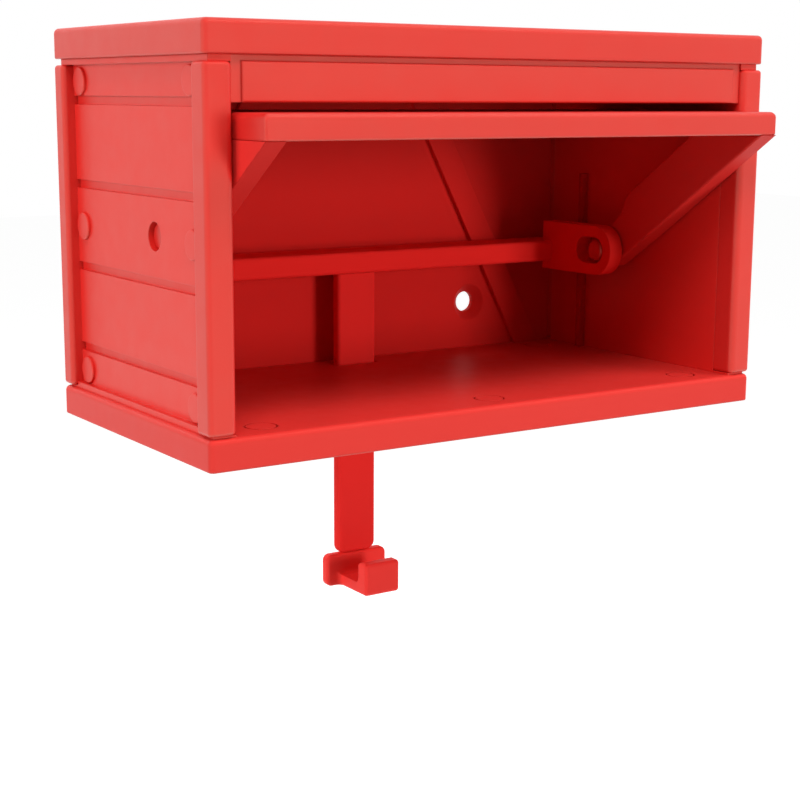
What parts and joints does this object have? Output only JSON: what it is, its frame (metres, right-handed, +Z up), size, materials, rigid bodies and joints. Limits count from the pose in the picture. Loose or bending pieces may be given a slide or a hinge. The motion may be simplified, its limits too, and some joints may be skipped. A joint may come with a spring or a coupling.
{
  "type": "wall key cabinet",
  "caption": "Small garage-shaped wall key cabinet; a key hung on its hook pulls a lift bar down and swings the front door up.",
  "frame": {"origin": "centre of the cabinet's back face, on the wall", "axes": "+X to the right seen from the front, front faces -Y, +Z up"},
  "size_m": [0.11, 0.0642, 0.1033],
  "materials": {
    "shell_plastic": "satin moulded red plastic",
    "door_plastic": "satin moulded red plastic",
    "hook_plastic": "satin moulded red plastic",
    "peg_plastic": "satin moulded red plastic",
    "pin_plastic": "smooth red plastic pin",
    "pad_foam": "pale adhesive foam pad"
  },
  "bodies": {
    "cabinet": {"base_plate": "shell_plastic", "roof_plate": "shell_plastic", "left_side_wall": "shell_plastic", "right_side_wall": "shell_plastic", "left_front_post": "shell_plastic", "right_front_post": "shell_plastic", "left_rear_post": "shell_plastic", "right_rear_post": "shell_plastic", "back_panel": "shell_plastic", "header_panel": "shell_plastic", "left_guide_rail": "shell_plastic", "right_guide_rail": "shell_plastic", "left_side_pegs": "peg_plastic", "right_side_pegs": "peg_plastic", "floor_pegs": "peg_plastic", "wall_pads": "pad_foam"},
    "door": {"door_panel": "door_plastic", "left_door_arm": "door_plastic", "right_door_arm": "door_plastic", "left_pivot_pin": "pin_plastic", "right_pivot_pin": "pin_plastic", "left_crank_pin": "pin_plastic", "right_crank_pin": "pin_plastic"},
    "lifter": {"lift_bar": "hook_plastic", "pull_strap": "hook_plastic", "key_hook": "hook_plastic"}
  },
  "joints": [
    {"name": "door_hinge", "type": "hinge", "parent": "cabinet", "child": "door", "pos_m": [0, -0.034, 0.00045], "axis": [1, 0, 0], "range_deg": [0, 81.8]},
    {"name": "lifter_slide", "type": "slide", "parent": "cabinet", "child": "lifter", "axis": [0, 0, 1], "range_m": [0, 0.01508]}
  ],
  "couplings": [
    {"joint": "lifter_slide", "follows": "door_hinge", "m_per_rad": 0.010546}
  ]
}
